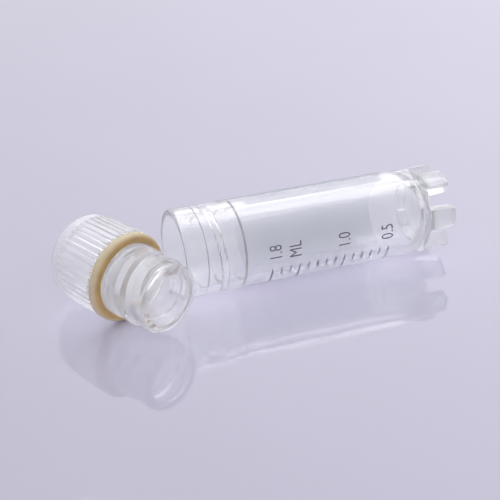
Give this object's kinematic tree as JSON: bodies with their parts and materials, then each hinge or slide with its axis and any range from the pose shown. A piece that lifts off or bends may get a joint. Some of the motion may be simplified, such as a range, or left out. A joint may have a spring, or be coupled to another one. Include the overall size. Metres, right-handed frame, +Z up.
{
  "type": "cryovial",
  "caption": "Clear cylindrical sample vial with an internal thread, a round bottom and a star foot, lying beside its ribbed screw cap with a sealing washer on a threaded plug.",
  "frame": {"origin": "centre of the tube's mouth, on the tube's axis, in the plane of its rim", "axes": "+X along the tube's axis from the mouth to the star foot; +Z up as the tube lies on a bench; +Y away from the scale's side, towards the writing patch"},
  "size_m": [0.0567, 0.02, 0.0124],
  "materials": {
    "clear_polypropylene": "clear, smooth moulded surface",
    "cap_polypropylene": "cloudy, slightly frosted moulded surface",
    "silicone": "tan translucent silicone",
    "white_ink": "matt white print to write on",
    "dark_ink": "printed ink"
  },
  "bodies": {
    "tube": {"tube": "clear_polypropylene", "writing_patch": "white_ink", "graduation": "dark_ink"},
    "cap": {"cap": "cap_polypropylene", "washer": "silicone"}
  },
  "joints": [
    {"name": "cap_lift", "type": "slide", "parent": "tube", "child": "cap", "axis": [0, 0, 1], "range_m": [0, 0.02]}
  ]
}
